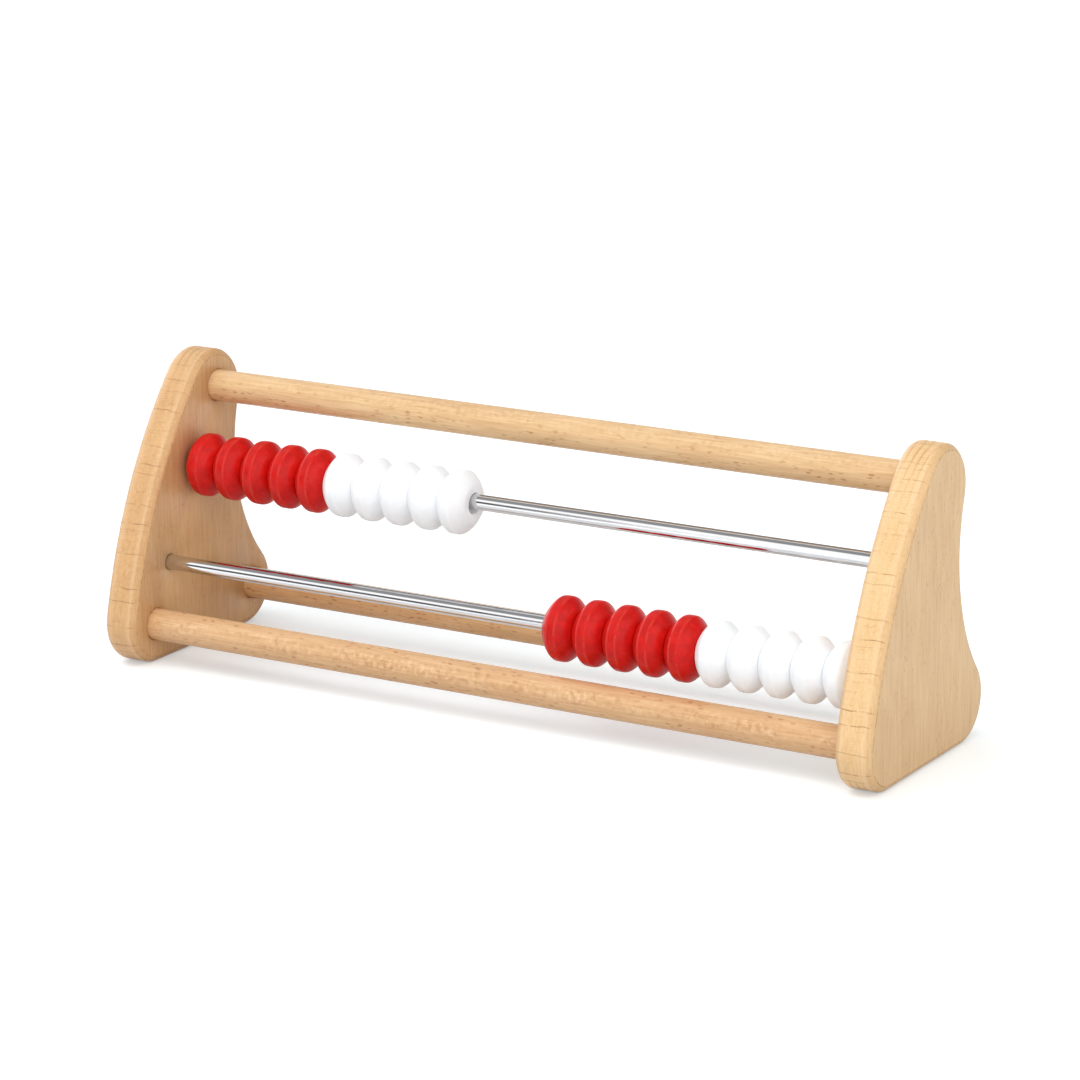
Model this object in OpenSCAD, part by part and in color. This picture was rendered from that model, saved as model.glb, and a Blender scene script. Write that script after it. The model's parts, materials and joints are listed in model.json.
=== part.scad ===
// Counting frame: two side panels carry three wooden dowels and two steel rods,
// and ten loose beads slide along each rod.
// X runs along the rods, Y runs to the back, Z is up, and the origin is on the
// table under the middle of the frame.

/* [Side panels] */
// Thickness of each side panel
panel_t = 14; // [12:0.5:18]
// Front to back depth of a panel
panel_depth = 90.6; // [86:0.2:100]
// Height of a panel
panel_h = 113; // [110:0.5:120]
// Radius of the rounded front bottom corner
toe_r = 16; // [14:0.5:18]
// Radius of the rounded back bottom corner
foot_r = 16; // [14:0.5:18]
// Radius of the rounded top
nose_r = 17; // [15.5:0.5:18]
// How far the top's centre sits behind the middle of the panel
nose_y = 11.6; // [9:0.2:14]
// Radius of the long bulging front edge
front_r = 195; // [170:5:230]
// Radius of the hollow back edge
back_r = 69; // [60:1:80]
// Radius that rounds over every panel edge
edge_r = 2.5; // [1:0.25:3]

/* [Dowels] */
// Free length between the two panels
inner_length = 293.2; // [280:0.2:320]
// Diameter of the three wooden dowels
dowel_d = 12; // [10:0.5:13]
// Centre of the top dowel, back from the middle
top_dowel_y = 12.7; // [11:0.1:14]
// Height of the top dowel's centre
top_dowel_z = 99; // [96:0.5:101]
// Centre of the front dowel, back from the middle
front_dowel_y = -30.5; // [-32:0.1:-28]
// Height of the front dowel's centre
front_dowel_z = 15; // [13:0.5:18]
// Centre of the rear dowel, back from the middle
rear_dowel_y = 32.5; // [28:0.1:34]
// Height of the rear dowel's centre
rear_dowel_z = 16; // [13:0.5:18]
// Depth of each blind hole that a dowel or rod is glued into
socket_depth = 10; // [7:0.5:10.5]

/* [Rods] */
// Diameter of the two steel rods
rod_d = 5.8; // [5:0.1:6.4]
// Centre of the upper rod, back from the middle
upper_rod_y = -3.3; // [-5:0.1:-1]
// Height of the upper rod's centre
upper_rod_z = 72.8; // [71:0.1:75]
// Centre of the lower rod, back from the middle
lower_rod_y = -20.9; // [-22:0.1:-19]
// Height of the lower rod's centre
lower_rod_z = 37.1; // [35.5:0.1:39]

/* [Beads] */
// Number of red beads on each rod
red_count = 5; // [1:1:9]
// Number of white beads on each rod
white_count = 5; // [1:1:9]
// Outside diameter of a bead
bead_d = 24; // [20:0.5:26]
// Thickness of a bead along the rod
bead_t = 12.4; // [10:0.1:14]
// Diameter of the hole through a bead
bead_bore_d = 7.6; // [7:0.1:8]
// Diameter of the flat ring on each end of a bead
bead_face_d = 13.8; // [12:0.2:15]
// Width of the straight band around a bead's rim
bead_band_w = 3.4; // [1:0.2:4]
// How far a bead's flank bulges beyond a straight cone
bead_bulge = 0.3; // [0.1:0.1:1]

/* [Hidden] */
$fn = 96;

// Air between a dowel or rod and the wall of its blind hole, on the radius
socket_gap = 0.1;
// Length of the air left between the end of a dowel and the bottom of its hole
socket_end_gap = 0.2;
// Air between two beads that are pushed together
bead_gap = 0.05;
// Air between the last bead of a row and the panel
row_end_gap = 0.8;
// How far a bead hangs below its rod's axis, less a film of air on top of the rod
bead_sag = (bead_bore_d - rod_d) / 2 - 0.05;
// How far a cut starts outside the face it enters
cut_margin = 1;
// How far a straight facet may stray from the true arc of a panel's outline
chord_error = 0.03;
// Facets around the quarter circle that rounds a panel edge
edge_steps = 4;

bead_count = red_count + white_count;
bead_pitch = bead_t + bead_gap;
half_inner = inner_length / 2;

// Centres of the cross bars, as [y, z]
dowel_places = [
    [top_dowel_y, top_dowel_z],
    [front_dowel_y, front_dowel_z],
    [rear_dowel_y, rear_dowel_z]
];
rod_places = [[upper_rod_y, upper_rod_z], [lower_rod_y, lower_rod_z]];

// Outline of a panel, seen along X: arc centres are [y, z]
toe_c = [-panel_depth / 2 + toe_r, toe_r];
foot_c = [panel_depth / 2 - foot_r, foot_r];
nose_c = [nose_y, panel_h - nose_r];
front_c = circles_meet(nose_c, front_r - nose_r, toe_c, front_r - toe_r);
back_c = circles_meet(nose_c, back_r + nose_r, foot_c, back_r + foot_r);

beech = [0.87, 0.70, 0.50];
beech_dowel = [0.88, 0.68, 0.46];
chrome = [0.82, 0.83, 0.85];
red_paint = [0.82, 0.13, 0.11];
white_paint = [0.95, 0.94, 0.92];

FRAME_NODES = [
    "left_panel", "right_panel", "top_dowel", "front_dowel", "rear_dowel", "upper_rod", "lower_rod"
];
ROWS = ["upper", "lower"];

function is_red(i) = i <= red_count;
function bead_name(row, i) =
    is_red(i) ? str(row, "_red_bead_", i) : str(row, "_white_bead_", i - red_count);

// The point left of the line from a to b that is ra from a and rb from b
function circles_meet(a, ra, b, rb) =
    let (
        ab = b - a,
        dist = norm(ab),
        along = (ra * ra - rb * rb + dist * dist) / (2 * dist),
        aside = sqrt(ra * ra - along * along),
        dir = ab / dist
    )
    a + along * dir + aside * [-dir[1], dir[0]];

// Angle of the direction from a to b, from 0 to 360
function bearing(a, b) =
    let (angle = atan2(b[1] - a[1], b[0] - a[0]))
    angle < 0 ? angle + 360 : angle;

// Points of an arc moved inward by inset, without the one at a1: an arc that runs up
// from a0 to a1 bulges outward and one that runs down is hollow
function arc_points(c, r, inset, a0, a1) =
    let (
        step = 2 * acos(1 - chord_error / r),
        count = ceil(abs(a1 - a0) / step),
        r_in = a1 > a0 ? r - inset : r + inset
    )
    [for (i = [0:count - 1])
        let (a = a0 + (a1 - a0) * i / count)
        c + r_in * [cos(a), sin(a)]];

// The panel's outline, moved inward by inset, running anticlockwise from under the foot
function panel_outline(inset) =
    let (
        foot_end = bearing(foot_c, back_c),
        nose_start = bearing(nose_c, back_c) - 360,
        nose_end = bearing(front_c, nose_c),
        toe_start = bearing(front_c, toe_c)
    )
    concat(
        arc_points(foot_c, foot_r, inset, -90, foot_end),
        arc_points(back_c, back_r, inset, bearing(back_c, foot_c), bearing(back_c, nose_c)),
        arc_points(nose_c, nose_r, inset, nose_start, nose_end),
        arc_points(front_c, front_r, inset, nose_end, toe_start),
        arc_points(toe_c, toe_r, inset, toe_start, 270),
        [[toe_c[0], inset]]
    );

// Panel board with every edge rounded over: a stack of outlines, each layer being
// [inset, height]
module panel_slab() {
    turns = [for (i = [0:edge_steps]) 90 * i / edge_steps];
    bottom = [for (a = turns) [edge_r * (1 - sin(a)), edge_r * (1 - cos(a))]];
    top = [for (i = [edge_steps:-1:0]) [bottom[i][0], panel_t - bottom[i][1]]];
    layers = concat(bottom, top);
    count = len(panel_outline(0));
    points = [for (layer = layers, p = panel_outline(layer[0])) [p[0], p[1], layer[1]]];
    sides = [
        for (j = [0:len(layers) - 2], i = [0:count - 1])
            let (next = (i + 1) % count)
            [(j + 1) * count + i, (j + 1) * count + next, j * count + next, j * count + i]
    ];
    bottom_cap = [for (i = [0:count - 1]) i];
    top_cap = [for (i = [count - 1:-1:0]) (len(layers) - 1) * count + i];
    polyhedron(points, concat([bottom_cap, top_cap], sides), convexity = 4);
}

// Turns a shape drawn as (y, z) with its thickness along z into the room's axes
module stand_up() {
    rotate([90, 0, 90]) children();
}

// A panel standing on the table with its inner face at x = 0 and its body on the -X side
module side_panel() {
    color(beech)
        difference() {
            translate([-panel_t, 0, 0]) stand_up() panel_slab();
            for (place = dowel_places) socket(place, dowel_d / 2 + socket_gap);
            for (place = rod_places) socket(place, rod_d / 2 + socket_gap);
        }
}

// Blind hole in a panel's inner face, cut from just outside that face
module socket(place, r) {
    translate([-socket_depth - socket_end_gap, place[0], place[1]])
        rotate([0, 90, 0]) cylinder(r = r, h = socket_depth + socket_end_gap + cut_margin);
}

// Round bar that reaches into both panels' sockets
module cross_bar(place, d) {
    length = inner_length + 2 * socket_depth;
    translate([-length / 2, place[0], place[1]])
        rotate([0, 90, 0]) cylinder(d = d, h = length);
}

module left_panel() {
    translate([-half_inner, 0, 0]) side_panel();
}

module right_panel() {
    mirror([1, 0, 0]) left_panel();
}

module top_dowel() {
    color(beech_dowel) cross_bar(dowel_places[0], dowel_d);
}

module front_dowel() {
    color(beech_dowel) cross_bar(dowel_places[1], dowel_d);
}

module rear_dowel() {
    color(beech_dowel) cross_bar(dowel_places[2], dowel_d);
}

module upper_rod() {
    color(chrome) cross_bar(rod_places[0], rod_d);
}

module lower_rod() {
    color(chrome) cross_bar(rod_places[1], rod_d);
}

// A bead's section with straight flanks: x is the radius and y runs along the rod
module bead_core_section() {
    polygon([
        [bead_bore_d / 2, -bead_t / 2],
        [bead_face_d / 2, -bead_t / 2],
        [bead_d / 2, -bead_band_w / 2],
        [bead_d / 2, bead_band_w / 2],
        [bead_face_d / 2, bead_t / 2],
        [bead_bore_d / 2, bead_t / 2]
    ]);
}

// Sliver between a flank's straight cone and its bulging arc
module bead_flank_bulge() {
    face_edge = [bead_face_d / 2, bead_t / 2];
    rim_edge = [bead_d / 2, bead_band_w / 2];
    half_chord = norm(rim_edge - face_edge) / 2;
    arc_r = (half_chord * half_chord + bead_bulge * bead_bulge) / (2 * bead_bulge);
    arc_c = circles_meet(rim_edge, arc_r, face_edge, arc_r);
    intersection() {
        translate(arc_c) circle(arc_r);
        polygon([face_edge, [bead_d / 2, bead_t / 2], rim_edge]);
    }
}

// Bead number i of a row, counted from the left, hanging on the rod at place
module bead(place, first_x, i) {
    translate([first_x + (i - 1) * bead_pitch, place[0], place[1] - bead_sag])
        rotate([0, 90, 0])
            rotate_extrude() {
                bead_core_section();
                bead_flank_bulge();
                mirror([0, 1]) bead_flank_bulge();
            }
}

// Upper beads rest against the left panel and lower beads against the right one
module row_bead(row, i) {
    upper = row == "upper";
    end_x = half_inner - row_end_gap - bead_t / 2;
    first_x = upper ? -end_x : end_x - (bead_count - 1) * bead_pitch;
    color(is_red(i) ? red_paint : white_paint)
        bead(rod_places[upper ? 0 : 1], first_x, i);
}

left_panel();
right_panel();
top_dowel();
front_dowel();
rear_dowel();
upper_rod();
lower_rod();
for (row = ROWS, i = [1:bead_count])
    row_bead(row, i);
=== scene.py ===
import json
import math

import bmesh
import bpy
import numpy as np
from mathutils import Matrix, Vector, noise


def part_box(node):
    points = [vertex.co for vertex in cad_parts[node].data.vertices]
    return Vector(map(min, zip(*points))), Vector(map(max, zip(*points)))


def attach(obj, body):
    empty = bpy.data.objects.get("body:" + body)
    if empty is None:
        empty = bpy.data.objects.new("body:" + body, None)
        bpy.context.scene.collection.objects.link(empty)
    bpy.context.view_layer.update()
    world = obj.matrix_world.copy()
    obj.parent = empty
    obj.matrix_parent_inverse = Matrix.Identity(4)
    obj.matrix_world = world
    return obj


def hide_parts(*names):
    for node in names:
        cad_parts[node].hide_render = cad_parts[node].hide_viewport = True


# A two-row counting frame: beech panels and dowels, chromed rods and painted beads.
# Every piece is built around its own centre, from sizes read off the CAD frame.
# Lengths are in metres, and MM turns a number of millimetres into metres.

MM = 0.001
TINY = 0.02 * MM

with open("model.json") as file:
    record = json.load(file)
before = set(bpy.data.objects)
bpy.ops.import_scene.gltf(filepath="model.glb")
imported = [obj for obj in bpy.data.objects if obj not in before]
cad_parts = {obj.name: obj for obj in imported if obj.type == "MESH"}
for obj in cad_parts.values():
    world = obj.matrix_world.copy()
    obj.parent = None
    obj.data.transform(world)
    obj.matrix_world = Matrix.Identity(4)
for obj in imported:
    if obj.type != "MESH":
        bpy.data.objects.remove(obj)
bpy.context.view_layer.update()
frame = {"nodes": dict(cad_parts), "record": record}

PANELS = ["left_panel", "right_panel"]
DOWELS = ["top_dowel", "front_dowel", "rear_dowel"]
RODS = ["upper_rod", "lower_rod"]
BEADS = sorted(name for name in frame["nodes"] if "_bead_" in name)


# ---------------------------------------------------------------- reading the frame


def cad_points(node):
    """A CAD node's vertices at rest, one row each."""
    mesh = frame["nodes"][node].data
    flat = np.empty(len(mesh.vertices) * 3, np.float32)
    mesh.vertices.foreach_get("co", flat)
    return flat.reshape(-1, 3).astype(float)


def middle(node):
    """The centre of a CAD node's box."""
    low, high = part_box(node)
    return (low + high) / 2


def body_of(node):
    """The body that a CAD node belongs to."""
    bodies = frame["record"]["behaviour"]["bodies"]
    return next(body for body, members in bodies.items() if node in members)


# ---------------------------------------------------------------- mesh building


def new_piece(name, mesh, node, material):
    """Puts a mesh built around a CAD node's centre in that node's place."""
    piece = bpy.data.objects.new(name, mesh)
    bpy.context.scene.collection.objects.link(piece)
    piece.location = middle(node)
    mesh.materials.append(material)
    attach(piece, body_of(node))
    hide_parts(node)
    return piece


def finished_mesh(name, bm):
    """Turns a bmesh into a smooth-shaded mesh whose faces all point outward."""
    bmesh.ops.recalc_face_normals(bm, faces=bm.faces)
    for face in bm.faces:
        face.smooth = True
    mesh = bpy.data.meshes.new(name)
    bm.to_mesh(mesh)
    bm.free()
    return mesh


def bridge(bm, ring_a, ring_b):
    """Joins two closed rings of the same length with quads."""
    for i in range(len(ring_a)):
        j = (i + 1) % len(ring_a)
        bm.faces.new((ring_a[i], ring_a[j], ring_b[j], ring_b[i]))


def circle_ring(bm, x, radius, segments, centre=(0.0, 0.0)):
    """A ring of vertices around the X direction."""
    ring = []
    for i in range(segments):
        angle = math.tau * i / segments
        y = centre[0] + radius * math.cos(angle)
        z = centre[1] + radius * math.sin(angle)
        ring.append(bm.verts.new((x, y, z)))
    return ring


def cap(bm, ring):
    """Closes a ring with a fan around its centre."""
    total = Vector((0, 0, 0))
    for vert in ring:
        total += vert.co
    hub = bm.verts.new(total / len(ring))
    for i in range(len(ring)):
        bm.faces.new((ring[i], ring[(i + 1) % len(ring)], hub))


def loop_edges(bm, ring):
    """The edges around a closed ring, made where they don't exist yet."""
    edges = []
    for i in range(len(ring)):
        pair = (ring[i], ring[(i + 1) % len(ring)])
        edges.append(bm.edges.get(pair) or bm.edges.new(pair))
    return edges


# ---------------------------------------------------------------- panels

# An edge's arc meets the face and the rim at EDGE_BREAK, and loses EDGE_TRIM of its turn at each
# end to softening. SIGHT_HEIGHT is where an outline is looked at from, as a share of its height.
OUTLINE_STEP = 1.2 * MM
LONG_RUN = 8 * MM
EDGE_STEPS = 6
EDGE_BREAK = math.radians(14)
EDGE_TRIM = 0.08
ARRIS_SOFTNESS = 0.2 * MM
RIM_STEPS = 4
FLAT_MARGIN = 0.6 * MM
HOLE_SEGMENTS = 64
HOLE_GAP = 0.12 * MM
HOLE_CHAMFER = 0.35 * MM
HOLE_END_GAP = 0.2 * MM
SIGHT_HEIGHT = 0.4


def smooth_loop(points, step):
    """Evenly spaced points on a smooth closed curve through points; long runs stay straight."""
    knots = []
    for i, here in enumerate(points):
        there = points[(i + 1) % len(points)]
        run = np.linalg.norm(there - here)
        parts = math.ceil(run / step) if run > LONG_RUN else 1
        knots += [here + (there - here) * k / parts for k in range(parts)]
    knots = np.array(knots)
    after = np.roll(knots, -1, axis=0)
    span = np.linalg.norm(after - knots, axis=1)
    slope = (after - knots) / span[:, None]
    span_before = np.roll(span, 1)
    slope_before = np.roll(slope, 1, axis=0)
    tangent = slope * span_before[:, None] + slope_before * span[:, None]
    tangent /= (span + span_before)[:, None]

    distance = np.concatenate([[0], np.cumsum(span)])
    count = round(distance[-1] / step)
    wanted = np.arange(count) * distance[-1] / count
    at = np.clip(np.searchsorted(distance, wanted, side="right") - 1, 0, len(knots) - 1)
    t = ((wanted - distance[at]) / span[at])[:, None]
    width = span[at][:, None]
    start, end = knots[at], after[at]
    leave, arrive = tangent[at], np.roll(tangent, -1, axis=0)[at]
    return (
        (2 * t**3 - 3 * t**2 + 1) * start
        + (t**3 - 2 * t**2 + t) * width * leave
        + (3 * t**2 - 2 * t**3) * end
        + (t**3 - t**2) * width * arrive
    )


def panel_outline(node, outer_x):
    """A panel's widest outline as ordered (y, z) points, and the radius of its rounded edge.

    The points are put in order by their bearing from a spot from which all of them can be seen.
    """
    points = cad_points(node)
    depth = np.abs(points[:, 0] - outer_x)
    edge_r = points[depth < TINY][:, 2].min() - points[:, 2].min()
    ring = np.unique(points[np.abs(depth - edge_r) < TINY][:, 1:].round(6), axis=0)
    sight_z = (ring[:, 1].min() + ring[:, 1].max()) * SIGHT_HEIGHT
    bearing = np.arctan2(ring[:, 1] - sight_z, ring[:, 0])
    return ring[np.argsort(bearing)], edge_r


def outward_normals(loop):
    """Unit normals of an anticlockwise (y, z) loop."""
    tangent = np.roll(loop, -1, axis=0) - np.roll(loop, 1, axis=0)
    normal = np.stack([tangent[:, 1], -tangent[:, 0]], axis=1)
    return normal / np.linalg.norm(normal, axis=1)[:, None]


def blind_hole(bm, bar, inner_x, into, centre):
    """Rings of a socket for a bar, from its chamfered mouth to its closed bottom."""
    low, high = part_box(bar)
    radius = (high.z - low.z) / 2 + HOLE_GAP
    place = ((low.y + high.y) / 2 - centre.y, (low.z + high.z) / 2 - centre.z)
    reach = abs((low.x if into < 0 else high.x) - centre.x - inner_x) + HOLE_END_GAP
    stations = [
        (0, radius + HOLE_CHAMFER),
        (HOLE_CHAMFER, radius),
        (reach / 2, radius),
        (reach, radius),
    ]
    rings = [
        circle_ring(bm, inner_x + into * depth, r, HOLE_SEGMENTS, place) for depth, r in stations
    ]
    for ring_a, ring_b in zip(rings, rings[1:]):
        bridge(bm, ring_a, ring_b)
    cap(bm, rings[-1])
    return rings[0]


def rounded_edge(edge_r):
    """A panel edge's section as (inset, depth, rounding, arris), from its face to its rim.

    The cutter that rounds the edge leaves a slight break at each end, an arris, which sanding
    has softened. The last value is 1 on the rim's arris and -1 on the face's.
    """
    turn = math.pi / 2 - 2 * EDGE_BREAK
    cutter_r = edge_r / math.sqrt(2) / math.sin(turn / 2)
    centre = edge_r / 2 + cutter_r * math.cos(turn / 2) / math.sqrt(2)
    section = [(edge_r + ARRIS_SOFTNESS, 0.0, 0.0, 0.0)]
    for k in range(EDGE_STEPS + 1):
        share = min(max(k / EDGE_STEPS, EDGE_TRIM), 1 - EDGE_TRIM)
        bearing = math.pi / 4 + turn * (share - 0.5)
        inset = centre - cutter_r * math.sin(bearing)
        depth = centre - cutter_r * math.cos(bearing)
        arris = {0: -1.0, EDGE_STEPS: 1.0}.get(k, 0.0)
        section.append((inset, depth, 1.0, arris))
    section.append((0.0, edge_r + ARRIS_SOFTNESS, 0.0, 1.0))
    return section


def build_panel(node, material):
    """A board with a rounded edge all round and blind holes in its inner face."""
    centre = middle(node)
    low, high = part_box(node)
    half = (high.x - low.x) / 2
    into = -1 if centre.x < 0 else 1
    outline, edge_r = panel_outline(node, centre.x + into * half)
    loop = smooth_loop(outline - np.array([centre.y, centre.z]), OUTLINE_STEP)
    normals = outward_normals(loop)

    side = [(edge_r + FLAT_MARGIN, 0.0, 0.0, 0.0)] + rounded_edge(edge_r)
    flat = 2 * half - 2 * edge_r
    rim = [(0.0, edge_r + flat * k / RIM_STEPS, 0.0, 0.0) for k in range(1, RIM_STEPS)]
    far_side = [(inset, 2 * half - depth, *wear) for inset, depth, *wear in reversed(side)]
    steps = np.linalg.norm(loop - np.roll(loop, 1, axis=0), axis=1)
    run = np.cumsum(steps) / MM

    bm = bmesh.new()
    layers = bm.verts.layers.float
    run_layer, edge_layer, arris_layer = [layers.new(name) for name in ("run", "edge", "arris")]
    rings = []
    for inset, depth, edge, arris in side + rim + far_side:
        ring = []
        for (y, z), (ny, nz), along in zip(loop, normals, run):
            vert = bm.verts.new((into * (half - depth), y - ny * inset, z - nz * inset))
            vert[run_layer], vert[edge_layer], vert[arris_layer] = along, edge, arris
            ring.append(vert)
        rings.append(ring)
    for ring_a, ring_b in zip(rings, rings[1:]):
        bridge(bm, ring_a, ring_b)
    bmesh.ops.triangle_fill(bm, use_beauty=True, edges=loop_edges(bm, rings[0]))
    inner_edges = loop_edges(bm, rings[-1])
    for bar in DOWELS + RODS:
        inner_edges += loop_edges(bm, blind_hole(bm, bar, -into * half, into, centre))
    bmesh.ops.triangle_fill(bm, use_beauty=True, edges=inner_edges)
    mesh = finished_mesh(node + "_board", bm)
    return new_piece(node + "_board", mesh, node, material)


# ---------------------------------------------------------------- dowels and rods

BAR_SEGMENTS = 64
DOWEL_SHAPE = {"ring_step": 3 * MM, "chamfer": 0.8 * MM, "waviness": 0.04 * MM}
ROD_SHAPE = {"ring_step": 12 * MM, "chamfer": 0.5 * MM, "waviness": 0.0}

# Waves of sanding per metre along a bar and across it, and how many waves apart the noise of two
# bars starts for each millimetre that one lies above the other.
WAVES_ALONG = 30
WAVES_ACROSS = 90
WAVES_APART = 10


def build_bar(node, suffix, material, slot, ring_step, chamfer, waviness):
    """A round bar along X with chamfered ends; waviness is how far sanding cut into it."""
    low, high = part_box(node)
    half = (high.x - low.x) / 2
    radius = (high.z - low.z) / 2
    own_waves = Vector((0, 0, WAVES_APART * middle(node).z / MM))
    bm = bmesh.new()
    straight = 2 * (half - chamfer)
    count = math.ceil(straight / ring_step)
    stations = [-half + chamfer + straight * i / count for i in range(count + 1)]
    stations = [-half, *stations, half]
    rings = []
    for x in stations:
        end = abs(x) > half - TINY
        ring = circle_ring(bm, x, radius - chamfer if end else radius, BAR_SEGMENTS)
        if waviness and not end:
            for vert in ring:
                wave = Vector((x * WAVES_ALONG, vert.co.y * WAVES_ACROSS, vert.co.z * WAVES_ACROSS))
                dip = 0.5 + 0.5 * noise.noise(wave + own_waves)
                vert.co.yz *= 1 - waviness * dip / radius
        rings.append(ring)
    for ring_a, ring_b in zip(rings, rings[1:]):
        bridge(bm, ring_a, ring_b)
    cap(bm, rings[0])
    cap(bm, rings[-1])
    return new_piece(node + suffix, finished_mesh(node + suffix, bm), node, material)


# ---------------------------------------------------------------- beads

BEAD_SEGMENTS = 96
PROFILE_STEP = 0.05 * MM
PROFILE_SOFTNESS = 0.55 * MM
PROFILE_BLUR_REACH = 3
PROFILE_POINTS = 132
ARRIS_REACH = 0.7 * MM


def bead_sizes(node):
    """A bead's half thickness and radii, read off its CAD mesh."""
    centre = middle(node)
    points = cad_points(node) - np.array(centre)
    along = np.abs(points[:, 0])
    radius = np.hypot(points[:, 1], points[:, 2])
    half_t, rim_r, bore_r = along.max(), radius.max(), radius.min()
    face_r = radius[along > half_t - TINY].max()
    band = along[radius > rim_r - TINY].max()
    chord = np.array([half_t - band, face_r - rim_r])
    chord /= np.linalg.norm(chord)
    bulge = ((along - band) * -chord[1] + (radius - rim_r) * chord[0]).max()
    return half_t, rim_r, bore_r, face_r, band, bulge


def bead_profile(node):
    """The closed section of a bead as (x, radius) points, with every corner softened."""
    half_t, rim_r, bore_r, face_r, band, bulge = bead_sizes(node)
    start, end = np.array([band, rim_r]), np.array([half_t, face_r])
    chord = end - start
    length = np.linalg.norm(chord)
    aside = np.array([-chord[1], chord[0]]) / length
    share = np.linspace(0, 1, round(length / PROFILE_STEP))[:, None]
    flank = start + share * chord + 4 * bulge * share * (1 - share) * aside
    ends = np.array([[half_t, bore_r], [-half_t, bore_r]])
    corners = np.concatenate([flank, ends, flank[::-1] * (-1, 1)])

    dense = []
    for here, there in zip(corners, np.roll(corners, -1, axis=0)):
        parts = max(1, round(np.linalg.norm(there - here) / PROFILE_STEP))
        dense += [here + (there - here) * k / parts for k in range(parts)]
    dense = np.array(dense)
    reach = round(PROFILE_BLUR_REACH * PROFILE_SOFTNESS / PROFILE_STEP)
    offsets = np.arange(-reach, reach + 1)
    weights = np.exp(-0.5 * (offsets * PROFILE_STEP / PROFILE_SOFTNESS) ** 2)
    weights /= weights.sum()
    soft = sum(w * np.roll(dense, -o, axis=0) for w, o in zip(weights, offsets))
    return soft[np.linspace(0, len(soft), PROFILE_POINTS, endpoint=False).astype(int)]


def build_bead(node, profile, material):
    """A turned bead around the X direction, with its two arrises marked for a painted highlight."""
    _, rim_r, _, _, band, _ = bead_sizes(node)
    bm = bmesh.new()
    arris_layer = bm.verts.layers.float.new("arris")
    rings = []
    for x, radius in profile:
        ring = circle_ring(bm, x, radius, BEAD_SEGMENTS)
        off_corner = math.hypot(abs(x) - band, radius - rim_r)
        for vert in ring:
            vert[arris_layer] = max(0.0, 1 - off_corner / ARRIS_REACH)
        rings.append(ring)
    for ring_a, ring_b in zip(rings, rings[1:] + rings[:1]):
        bridge(bm, ring_a, ring_b)
    name = node + "_turned"
    return new_piece(name, finished_mesh(name, bm), node, material)


# ---------------------------------------------------------------- material nodes


def srgb(red, green, blue):
    """A colour given as 0 to 255 display values, in the linear values that shaders use."""
    values = [v / 255 for v in (red, green, blue)]
    linear = [v / 12.92 if v <= 0.04045 else ((v + 0.055) / 1.055) ** 2.4 for v in values]
    return (*linear, 1.0)


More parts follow.
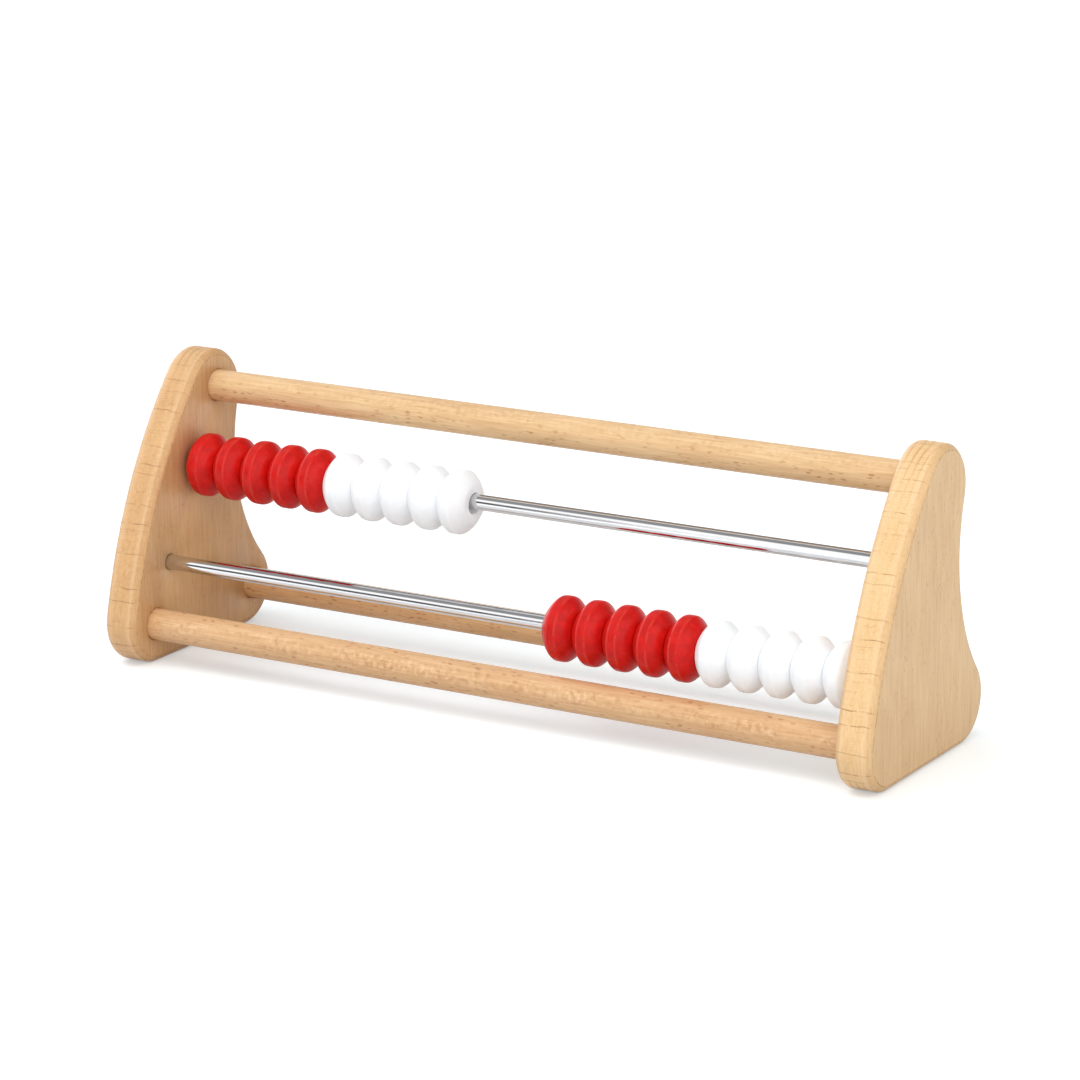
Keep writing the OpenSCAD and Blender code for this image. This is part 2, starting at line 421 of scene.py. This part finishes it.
class Shader:
    """The nodes of a material or a world. An input may be a number, a tuple or an output."""

    def __init__(self, owner):
        owner.use_nodes = True
        self.owner = owner
        self.tree = owner.node_tree
        self.tree.nodes.clear()

    def add(self, kind, inputs, output=0, **settings):
        """Adds a node with its inputs and settings, and gives back one of its outputs."""
        node = self.tree.nodes.new("ShaderNode" + kind)
        for key, value in settings.items():
            setattr(node, key, value)
        for key, value in inputs.items():
            if isinstance(value, bpy.types.NodeSocket):
                self.tree.links.new(value, node.inputs[key])
            else:
                node.inputs[key].default_value = value
        return node.outputs[output] if node.outputs else node

    def math(self, operation, a, b=0.0):
        return self.add("Math", {0: a, 1: b}, operation=operation)

    def span(self, value, low, high, to_low=0.0, to_high=1.0):
        """Maps low..high to to_low..to_high smoothly, and holds it there outside."""
        inputs = {"Value": value, "From Min": low, "From Max": high, "To Min": to_low, "To Max": to_high}
        return self.add("MapRange", inputs, interpolation_type="SMOOTHSTEP")

    def mix(self, share, a, b):
        return self.add("Mix", {0: share, 6: a, 7: b}, output=2, data_type="RGBA")

    def tint(self, colour, mask, amount, tone):
        """Mixes a tone into a colour, by an amount and only where the mask is."""
        return self.mix(self.math("MULTIPLY", mask, amount), colour, tone)

    def attribute(self, name, kind="GEOMETRY"):
        """A value stored on the mesh's vertices or on the object."""
        return self.add("Attribute", {}, output="Fac", attribute_type=kind, attribute_name=name)

    def stretch(self, vector, scale):
        """A vector with each part multiplied by its own number."""
        return self.add("VectorMath", {0: vector, 1: scale}, operation="MULTIPLY")

    def noise(self, vector, detail=3.0, roughness=0.55):
        """Noise of about one blob per unit, as a value around 0.5."""
        inputs = {"Vector": vector, "Scale": 1.0, "Detail": detail, "Roughness": roughness}
        return self.add("TexNoise", inputs)

    def flecks(self, vector, size, reach):
        """Lens shapes at the middle of random cells of the given size; some are fainter."""
        place = self.stretch(vector, tuple(1 / length for length in size))
        cell = self.add("TexVoronoi", {"Vector": place, "Scale": 1.0}, output="Color")
        distance = self.add("TexVoronoi", {"Vector": place, "Scale": 1.0}, output="Distance")
        shape = self.span(distance, reach * 1.4, reach * 0.6)
        strength = self.span(self.separate(cell)[0], 0.25, 0.85)
        return self.math("MULTIPLY", shape, strength)

    def lines(self, place, spacing, half_width):
        """Thin lines at random places along one direction, each of its own strength."""
        inputs = {"W": self.math("DIVIDE", place, spacing), "Scale": 1.0}
        kind = {"voronoi_dimensions": "1D"}
        distance = self.add("TexVoronoi", inputs, output="Distance", **kind)
        strength = self.separate(self.add("TexVoronoi", inputs, output="Color", **kind))[0]
        line = self.span(distance, half_width * 1.5 / spacing, half_width * 0.5 / spacing)
        return self.math("MULTIPLY", line, strength)

    def millimetres(self):
        """Position on the piece in millimetres from its own centre, moved on by the piece's seed."""
        place = self.add("TexCoord", {}, output="Object")
        seed = self.attribute("seed", "OBJECT")
        scaled = self.add("VectorMath", {0: place, "Scale": 1 / MM}, operation="SCALE")
        shift = self.add("CombineXYZ", {"X": seed, "Y": seed, "Z": seed})
        return self.add("VectorMath", {0: scaled, 1: shift}, operation="ADD")

    def separate(self, vector):
        """The x, y and z of a vector."""
        node = self.tree.nodes.new("ShaderNodeSeparateXYZ")
        self.tree.links.new(vector, node.inputs[0])
        return node.outputs

    def finish(self, inputs):
        """Gives the material its surface, and gives back the material."""
        surface = self.add("BsdfPrincipled", inputs)
        self.add("OutputMaterial", {"Surface": surface})
        return self.owner

    def bump(self, height, distance, strength):
        return self.add("Bump", {"Height": height, "Distance": distance, "Strength": strength})


# ---------------------------------------------------------------- beech

# Lengths in this section are in millimetres. The wood is solid, with its own directions: across
# the grain, radially through the growth layers, and along the fibres. Its rays show as dark
# dashes, and also as flakes where a dowel's surface runs along them.
DARK_RAY = srgb(156, 96, 52)
LATE_WOOD = srgb(178, 128, 82)
PALE_WOOD = srgb(250, 222, 184)

# How the rays show on a board and on a dowel: a dash's size across, radially and along, the part
# of it that is seen, how dark it is, and how dark the late wood of each growth layer is.
BOARD = {"dash": (0.8, 12, 3.6), "reach": 0.20, "tint": 0.46, "late": 0.10}
DOWEL = {"dash": (0.9, 3, 3.8), "reach": 0.30, "tint": 0.66, "late": 0.18}

# The wood's noises: blobs per millimetre across, radially and along the fibres, then how many
# finer layers each noise has and how strong those are.
WOOD_NOISES = {
    "fibres": ((1.9, 1.9, 0.07), 4.0, 0.62),
    "streaks": ((0.5, 0.5, 0.02), 3.0, 0.55),
    "cloud": ((0.08, 0.08, 0.03), 3.0, 0.55),
    "wander": ((0.03, 0.02, 0.009), 2.0, 0.4),
    "late_patch": ((0.06, 0.06, 0.02), 3.0, 0.55),
    "bend": ((0.3, 0.3, 0.3), 2.0, 0.55),
    "flakes": ((0.6, 0.5, 0.5), 2.0, 0.5),
    "flake_patch": ((0.1, 0.1, 0.05), 3.0, 0.55),
    "sway": ((0.12, 0.16, 0.12), 1.0, 0.55),
    "check_patch": ((0.16, 0.16, 0.16), 3.0, 0.55),
    "hair_patch": ((0.1, 0.25, 0.08), 3.0, 0.55),
    "torn": ((1.5, 1.5, 0.5), 2.0, 0.55),
}

GROWTH_SPACING = 2.9
GROWTH_WANDER = 5.0
LATE_ON_END_GRAIN = 0.60
RAY_BEND = 1.6
CHECKS = {"spacing": 5.6, "half_width": 0.20}
HAIRS = {"spacing": 0.9, "half_width": 0.10}
RIM_SWAY = 1.4

# How strongly each feature tints the wood under it.
PALE_FLAKE_TINT = 0.28
DUSKY_FLAKE_TINT = 0.30
CHECK_TINT = 0.78
HAIR_TINT = 0.30
EDGE_TINT = 0.14
RIM_HIGHLIGHT_TINT = 0.18
TORN_TINT = 0.48


def wood_axes(s, vector, along):
    """A vector's parts across the grain, through the growth layers and along the fibres."""
    x, y, z = s.separate(vector)
    return (y, x, z) if along == "Z" else (y, z, x)


def wood_noise(s, grain, kind):
    """One of the wood's noises, as a value around 0.5."""
    scale, detail, roughness = WOOD_NOISES[kind]
    return s.noise(s.stretch(grain, scale), detail, roughness)


def wood_space(s, along, roll):
    """A point's place in the wood, and how far the surface there faces each of its directions."""
    turn = {"rotation_type": "X_AXIS"}
    angle = math.radians(roll)
    place = s.add("VectorRotate", {"Vector": s.millimetres(), "Angle": angle}, **turn)
    normal = s.add("TexCoord", {}, output="Normal")
    normal = s.add("VectorRotate", {"Vector": normal, "Angle": angle}, **turn)
    across, radial, fibre = wood_axes(s, place, along)
    grain = s.add("CombineXYZ", {"X": across, "Y": radial, "Z": fibre})
    facing = [s.math("ABSOLUTE", part) for part in wood_axes(s, normal, along)]
    return grain, facing


def wood_tone(s, grain, fibres, cloud):
    """How far the wood is from its light tone to its dark one: fibres, clouds and streaks."""
    fine = s.span(fibres, 0.34, 0.68, 0.0, 0.58)
    broad = s.span(cloud, 0.32, 0.68, 0.0, 0.28)
    streaky = s.span(wood_noise(s, grain, "streaks"), 0.35, 0.65, 0.0, 0.10)
    return s.math("ADD", s.math("ADD", fine, broad), streaky)


def late_wood(s, grain):
    """The darker end of each growth layer, which fades in slowly and stops short."""
    radial = s.separate(grain)[1]
    wander = s.math("MULTIPLY", wood_noise(s, grain, "wander"), GROWTH_WANDER)
    layer = s.math("ADD", s.math("DIVIDE", radial, GROWTH_SPACING), wander)
    ring = s.math("FRACT", layer)
    late = s.math("MULTIPLY", s.span(ring, 0.45, 0.90), s.span(ring, 1.0, 0.93))
    patch = s.span(wood_noise(s, grain, "late_patch"), 0.3, 0.6, 0.3, 1.0)
    return s.math("MULTIPLY", late, patch)


def bent_grain(s, grain):
    """The grain with its rays bent a little out of line."""
    bend = wood_noise(s, grain, "bend")
    shift = s.add("CombineXYZ", {"X": s.math("MULTIPLY", bend, RAY_BEND), "Y": bend, "Z": bend})
    return s.add("VectorMath", {0: grain, 1: shift}, operation="ADD")


def ray_dashes(s, bent, facing, cloud, rays):
    """The cut ends of the rays, fainter where the surface runs along the rays."""
    dashes = s.flecks(bent, rays["dash"], rays["reach"])
    ray_face = s.span(facing[0], 0.70, 0.96)
    dashes = s.math("MULTIPLY", dashes, s.span(ray_face, 0.0, 1.0, 1.0, 0.4))
    return s.math("MULTIPLY", dashes, s.span(cloud, 0.38, 0.58, 0.5, 1.0))


def add_flakes(s, colour, grain, bent, facing, mottle):
    """Pale and dusky flakes where a dowel's surface runs along the rays."""
    flakes = wood_noise(s, bent, "flakes")
    patch = s.span(wood_noise(s, grain, "flake_patch"), 0.36, 0.60, 0.25, 1.0)
    band = s.math("MULTIPLY", s.span(facing[0], 0.80, 0.99), patch)
    pale = s.math("MULTIPLY", s.span(flakes, 0.50, 0.62), band)
    dusky = s.math("MULTIPLY", s.span(flakes, 0.44, 0.34), band)
    colour = s.tint(colour, pale, PALE_FLAKE_TINT * mottle, PALE_WOOD)
    return s.tint(colour, dusky, DUSKY_FLAKE_TINT * mottle, DARK_RAY)


def rim_marks(s, grain, facing):
    """Checks and finer hairs that cross a board's rim, in patches."""
    sway = s.math("MULTIPLY", wood_noise(s, grain, "sway"), RIM_SWAY)
    run = s.math("ADD", s.attribute("run"), sway)
    rim = s.span(facing[1], 0.90, 0.45)
    patch = s.span(wood_noise(s, grain, "check_patch"), 0.34, 0.52)
    checks = s.math("MULTIPLY", s.math("MULTIPLY", s.lines(run, **CHECKS), patch), rim)
    patch = s.span(wood_noise(s, grain, "hair_patch"), 0.42, 0.62)
    hairs = s.math("MULTIPLY", s.math("MULTIPLY", s.lines(run, **HAIRS), rim), patch)
    return checks, hairs


def add_edge_wear_and_highlight(s, colour, grain, arris):
    """A darker rounded edge, a painted highlight along the arris at the rim, and a torn arris at the
    face.
    """
    colour = s.tint(colour, s.attribute("edge"), EDGE_TINT, LATE_WOOD)
    # The pale line on the rim's arris is a painted highlight.
    colour = s.tint(colour, arris, RIM_HIGHLIGHT_TINT, PALE_WOOD)
    torn = s.span(wood_noise(s, grain, "torn"), 0.44, 0.58)
    torn = s.math("MULTIPLY", torn, s.span(arris, 0.0, -1.0))
    return s.tint(colour, torn, TORN_TINT, DARK_RAY)


def beech(name, along, roll, light, dark, mottle=0.0):
    """Lacquered beech whose fibres run along "X" or "Z", turned by roll degrees about X.

    Mottle is how strongly the rays show as flakes on a dowel.
    """
    s = Shader(bpy.data.materials.new(name))
    rays = BOARD if along == "Z" else DOWEL
    grain, facing = wood_space(s, along, roll)
    fibres = wood_noise(s, grain, "fibres")
    cloud = wood_noise(s, grain, "cloud")
    colour = s.mix(wood_tone(s, grain, fibres, cloud), light, dark)

    end_face = s.span(facing[2], 0.45, 0.95)
    late_tint = s.span(end_face, 0.0, 1.0, rays["late"], LATE_ON_END_GRAIN)
    colour = s.tint(colour, late_wood(s, grain), late_tint, LATE_WOOD)
    bent = bent_grain(s, grain)
    pits = ray_dashes(s, bent, facing, cloud, rays)
    colour = s.tint(colour, pits, rays["tint"], DARK_RAY)

    rough = s.span(fibres, 0.3, 0.7, 0.40, 0.50)
    if along == "X":
        colour = add_flakes(s, colour, grain, bent, facing, mottle)
    else:
        checks, hairs = rim_marks(s, grain, facing)
        colour = s.tint(colour, checks, CHECK_TINT, DARK_RAY)
        colour = s.tint(colour, hairs, HAIR_TINT, DARK_RAY)
        arris = s.attribute("arris")
        colour = add_edge_wear_and_highlight(s, colour, grain, arris)
        pits = s.math("ADD", pits, s.math("MULTIPLY", checks, 0.8))
        rough = s.math("SUBTRACT", rough, s.math("MULTIPLY", arris, 0.10))
    height = s.math("SUBTRACT", s.math("MULTIPLY", fibres, 0.5), pits)
    return s.finish({
        "Base Color": colour,
        "Roughness": s.math("ADD", rough, s.math("MULTIPLY", pits, 0.12)),
        "Specular IOR Level": 0.40,
        "Coat Weight": 0.15,
        "Coat Roughness": 0.22,
        "Normal": s.bump(height, 0.03 * MM, 0.6),
    })


# ---------------------------------------------------------------- paint and chrome

# Each paint's colour, its shaded colour, the lighter colour painted on its arrises as a highlight,
# and the painted glow that the white paint gives off as light of its own, though it is no lamp.
PAINTS = {
    "red": (srgb(217, 27, 21), srgb(178, 11, 9), srgb(238, 84, 66), 0.0),
    "white": (srgb(241, 243, 245), srgb(233, 235, 238), srgb(250, 250, 250), 0.08),
}
CHROME_TONES = (srgb(222, 222, 224), srgb(206, 206, 208))

# Blobs per millimetre of the marks that turning, brushing and drying leave in the paint.
TURNING_SCALE = 3.0
CLOUD_SCALE = 0.28
PEEL_SCALE = 2.4
# How strongly the lighter colour is painted on the bead arrises as a highlight.
BEAD_HIGHLIGHT_TINT = 0.4

# The rods' marks: blobs per millimetre along a rod, then in the two directions across it.
HAIRLINES = (6.0, 0.6, 0.6)
POLISH = (0.08, 0.3, 0.3)


def bead_paint(name, colour, shade, arris_highlight, glow):
    """Satin paint on turned wood: faint turning rings, brush clouds and a fine orange peel."""
    s = Shader(bpy.data.materials.new(name))
    place = s.millimetres()
    x, y, z = s.separate(place)
    around = s.math("SQRT", s.math("ADD", s.math("POWER", y, 2.0), s.math("POWER", z, 2.0)))
    turning_place = s.add("CombineXYZ", {"X": x, "Y": around, "Z": 0.0})
    turning = s.noise(s.stretch(turning_place, (TURNING_SCALE,) * 3), detail=3.0)
    cloud = s.noise(s.stretch(place, (CLOUD_SCALE,) * 3), detail=3.0)
    peel = s.noise(s.stretch(place, (PEEL_SCALE,) * 3), detail=2.0)
    tone = s.math("ADD", s.span(turning, 0.3, 0.7, 0.0, 0.35), s.span(cloud, 0.35, 0.65, 0.0, 0.4))
    tone = s.math("ADD", tone, s.span(peel, 0.35, 0.65, 0.0, 0.25))
    height = s.math("ADD", s.math("MULTIPLY", turning, 0.6), s.math("MULTIPLY", peel, 0.6))
    # Patches of lighter colour on the arrises are a painted highlight.
    highlight_mask = s.math("MULTIPLY", s.attribute("arris"), s.span(cloud, 0.40, 0.58, 0.1, 1.0))
    colour = s.tint(s.mix(tone, colour, shade), highlight_mask, BEAD_HIGHLIGHT_TINT, arris_highlight)
    return s.finish({
        "Base Color": colour,
        "Roughness": s.span(peel, 0.3, 0.7, 0.32, 0.42),
        "Specular IOR Level": 0.16,
        "Coat Weight": 0.12,
        "Coat Roughness": 0.14,
        # The emission is a painted glow that lifts the white beads; they are no lamp.
        "Emission Color": colour,
        "Emission Strength": glow,
        "Normal": s.bump(height, 0.03 * MM, 0.8),
    })


def chrome():
    """Polished chrome on a drawn rod: hairlines around it and a faint uneven polish."""
    s = Shader(bpy.data.materials.new("chrome_plate"))
    place = s.millimetres()
    hair = s.noise(s.stretch(place, HAIRLINES), detail=4.0)
    cloud = s.noise(s.stretch(place, POLISH), detail=2.0)
    return s.finish({
        "Base Color": s.mix(cloud, *CHROME_TONES),
        "Metallic": 1.0,
        "Roughness": s.span(cloud, 0.3, 0.7, 0.05, 0.11),
        "Normal": s.bump(hair, 0.003 * MM, 0.4),
    })


# ---------------------------------------------------------------- studio

LIGHT_DISTANCE = 4.0
LIGHT_HALF_ANGLE = math.radians(20)
LIGHT_TARGET = Vector((0, 0, 50 * MM))
BRIGHTNESS = 0.957

# Azimuth 0 is in front of the object and 90 on its right; brightness is each light's radiance.
SOFTBOXES = {
    "front_low": (0, 22, 1.50),
    "front_high": (0, 58, 2.40),
    "front_right": (45, 22, 2.20),
    "right_high": (72, 58, 1.93),
    "back_right": (135, 22, 0.50),
    "back_left": (225, 22, 2.46),
    "left_high": (288, 58, 2.51),
    "front_left": (315, 22, 0.33),
    "overhead": (0, 90, 0.40),
}


def build_softbox(name, azimuth, elevation, radiance):
    """A round softbox that faces the object and fills the same angle from any side."""
    data = bpy.data.lights.new(name, "AREA")
    data.shape = "DISK"
    data.size = 2 * LIGHT_DISTANCE * math.tan(LIGHT_HALF_ANGLE)
    data.energy = BRIGHTNESS * radiance * math.pi * math.pi * (data.size / 2) ** 2
    light = bpy.data.objects.new(name, data)
    bpy.context.scene.collection.objects.link(light)
    turn, lift = math.radians(azimuth), math.radians(elevation)
    toward = Vector((math.sin(turn) * math.cos(lift), -math.cos(turn) * math.cos(lift), math.sin(lift)))
    light.location = LIGHT_TARGET + toward * LIGHT_DISTANCE
    light.rotation_euler = (-toward).to_track_quat("-Z", "Y").to_euler()
    light.visible_glossy = False


ROOM_BRIGHTNESS = 0.12

# What polished surfaces mirror: brightness by the angle around the rods' direction, in degrees
# from the front horizon over the top to the back horizon. The dark stops are the gaps between
# the softboxes, and the side panels of the studio are bright all over.
MIRRORED_ROOM = [
    (0, 1.50),
    (50, 1.50),
    (60, 0.40),
    (100, 0.36),
    (108, 1.10),
    (128, 1.10),
    (136, 0.20),
    (160, 0.20),
    (168, 0.80),
    (180, 0.90),
]
SIDE_WALL_BRIGHTNESS = 2.6

# A dark gap above the front horizon, seen only towards the sides. Both fades are between two
# values: degrees away from the gap's middle, and how far a direction points to the side.
HORIZON_GAP = 0.10
HORIZON_GAP_ANGLE = 10
HORIZON_GAP_FADE = (19, 13)
HORIZON_GAP_SIDE = (0.46, 0.51)
SIDE_WALL_FADE = (0.62, 0.74)
WHITE_LIGHT = (1, 1, 1, 1)


def mirrored_light(s):
    """The brightness that a polished surface sees in each direction."""
    x, y, z = s.separate(s.add("TexCoord", {}, output="Generated"))
    around = s.math("DEGREES", s.math("ARCTAN2", z, s.math("MULTIPLY", y, -1.0)))
    aside = s.math("ABSOLUTE", x)
    ramp = s.tree.nodes.new("ShaderNodeValToRGB")
    s.tree.links.new(s.math("DIVIDE", around, 180.0), ramp.inputs["Fac"])
    stops = ramp.color_ramp.elements
    while len(stops) < len(MIRRORED_ROOM):
        stops.new(0.5)
    for stop, (angle, brightness) in zip(stops, MIRRORED_ROOM):
        stop.position = angle / 180
        stop.color = (brightness, brightness, brightness, 1)
    off_gap = s.math("ABSOLUTE", s.math("SUBTRACT", around, HORIZON_GAP_ANGLE))
    gap = s.math("MULTIPLY", s.span(off_gap, *HORIZON_GAP_FADE), s.span(aside, *HORIZON_GAP_SIDE))
    front = s.math("MULTIPLY", ramp.outputs["Color"], s.span(gap, 0.0, 1.0, 1.0, HORIZON_GAP))
    walls = s.math("MULTIPLY", s.span(aside, *SIDE_WALL_FADE), SIDE_WALL_BRIGHTNESS)
    return s.math("MAXIMUM", front, walls)


def build_world():
    """Pure white to the camera, a dim room to matt surfaces and a striped one to shiny ones."""
    world = bpy.data.worlds.new("studio")
    bpy.context.scene.world = world
    s = Shader(world)
    dim = s.add("Background", {"Color": WHITE_LIGHT, "Strength": ROOM_BRIGHTNESS})
    striped = s.add("Background", {"Color": WHITE_LIGHT, "Strength": mirrored_light(s)})
    plain = s.add("Background", {"Color": WHITE_LIGHT, "Strength": 1.0})
    glossy = s.add("LightPath", {}, output="Is Glossy Ray")
    seen = s.add("LightPath", {}, output="Is Camera Ray")
    room = s.add("MixShader", {0: glossy, 1: dim, 2: striped})
    s.add("OutputWorld", {"Surface": s.add("MixShader", {0: seen, 1: room, 2: plain})})


# The floor's glow lifts it for the camera, so that only soft shadows show. A mirrored floor glows
# by another amount, which grows between two distances from the object, in millimetres.
FLOOR_GLOW = 0.35
MIRRORED_GLOW = (0.15, 0.60)
MIRRORED_REACH = (120, 300)
FLOOR_TINT = (0.93, 1.00, 1.02, 1)
FLOOR_WHITES = ((0.795, 0.82, 0.84, 1), (0.775, 0.80, 0.82, 1))
FLOOR_BOUNCE = (0.70, 0.70, 0.70, 1)
FLOOR_CLOUD_SCALE = 0.004
FLOOR_HALF = 6.0
FLOOR_CELLS = 8


def floor_material():
    """A white table top whose light on the object, glow and mirror image are set apart."""
    s = Shader(bpy.data.materials.new("floor_white"))
    place = s.millimetres()
    cloud = s.noise(s.stretch(place, (FLOOR_CLOUD_SCALE,) * 3), detail=2.0)
    bounce = s.add("LightPath", {}, output="Is Diffuse Ray")
    seen = s.add("LightPath", {}, output="Is Camera Ray")
    away = s.add("VectorMath", {0: place}, output="Value", operation="LENGTH")
    mirrored = s.span(away, *MIRRORED_REACH, *MIRRORED_GLOW)
    glow = s.span(seen, 0, 1, mirrored, FLOOR_GLOW)
    return s.finish({
        "Base Color": s.mix(bounce, s.mix(cloud, *FLOOR_WHITES), FLOOR_BOUNCE),
        "Roughness": 0.6,
        "Specular IOR Level": 0.2,
        "Emission Color": s.mix(seen, WHITE_LIGHT, FLOOR_TINT),
        "Emission Strength": s.math("MULTIPLY", s.math("SUBTRACT", 1.0, bounce), glow),
    })


def build_floor():
    """A large flat floor under the object's feet."""
    bm = bmesh.new()
    bmesh.ops.create_grid(bm, x_segments=FLOOR_CELLS, y_segments=FLOOR_CELLS, size=FLOOR_HALF)
    floor = bpy.data.objects.new("floor", finished_mesh("floor", bm))
    bpy.context.scene.collection.objects.link(floor)
    floor.data.materials.append(floor_material())


CAMERA_PLACE = Vector((727.4, -1197.2, 439.7)) * MM
CAMERA_AZIMUTH = 31.134
CAMERA_ELEVATION = 15.152
CAMERA_ROLL = -0.361
CAMERA_LENS = 133.3
CAMERA_SENSOR = 36.0


def build_camera():
    """The camera stands in front, to the right and above, and looks slightly down."""
    data = bpy.data.cameras.new("camera")
    data.lens = CAMERA_LENS
    data.sensor_width = CAMERA_SENSOR
    camera = bpy.data.objects.new("camera", data)
    bpy.context.scene.collection.objects.link(camera)
    azimuth, elevation = math.radians(CAMERA_AZIMUTH), math.radians(CAMERA_ELEVATION)
    forward = Vector((
        -math.sin(azimuth) * math.cos(elevation),
        math.cos(azimuth) * math.cos(elevation),
        -math.sin(elevation),
    ))
    level = forward.cross(Vector((0, 0, 1))).normalized()
    upright = level.cross(forward)
    roll = math.radians(CAMERA_ROLL)
    right = level * math.cos(roll) + upright * math.sin(roll)
    up = upright * math.cos(roll) - level * math.sin(roll)
    turned = Matrix((right, up, -forward)).transposed().to_4x4()
    camera.matrix_world = Matrix.Translation(CAMERA_PLACE) @ turned
    bpy.context.scene.camera = camera


# ---------------------------------------------------------------- the object

# Each wooden piece's fibre direction, turn about X in degrees, light and dark tones, and mottle.
WOODS = {
    "left_panel": ("Z", 0, srgb(220, 179, 128), srgb(199, 151, 101)),
    "right_panel": ("Z", 0, srgb(240, 204, 153), srgb(222, 180, 126)),
    "top_dowel": ("X", 50, srgb(232, 198, 151), srgb(208, 165, 117), 0.5),
    "front_dowel": ("X", 20, srgb(224, 185, 140), srgb(202, 154, 107), 1.0),
    "rear_dowel": ("X", 70, srgb(230, 187, 137), srgb(208, 157, 107), 0.6),
}

# How far, in millimetres, the pattern moves on from each piece to the next of its kind.
PANEL_SEED = 37.0
DOWEL_SEED = 53.0
ROD_SEED = 29.0
BEAD_SEED = 17.0

woods = {node: beech("beech_" + node, *look) for node, look in WOODS.items()}
steel = chrome()
paints = {colour: bead_paint("bead_" + colour, *look) for colour, look in PAINTS.items()}

for index, node in enumerate(PANELS):
    panel = build_panel(node, woods[node])
    panel["seed"] = PANEL_SEED * index
for index, node in enumerate(DOWELS):
    dowel = build_bar(node, "_turned", woods[node], "beech_dowel", **DOWEL_SHAPE)
    dowel["seed"] = DOWEL_SEED * index
for index, node in enumerate(RODS):
    rod = build_bar(node, "_plated", steel, "chrome", **ROD_SHAPE)
    rod["seed"] = ROD_SEED * index
profile = bead_profile(BEADS[0])
for index, node in enumerate(BEADS):
    colour = "red" if "_red_" in node else "white"
    bead = build_bead(node, profile, paints[colour])
    bead["seed"] = BEAD_SEED * index

build_world()
build_floor()
build_camera()
for name, (azimuth, elevation, radiance) in SOFTBOXES.items():
    build_softbox(name, azimuth, elevation, radiance)

scene = bpy.context.scene
scene.view_settings.view_transform = "Standard"
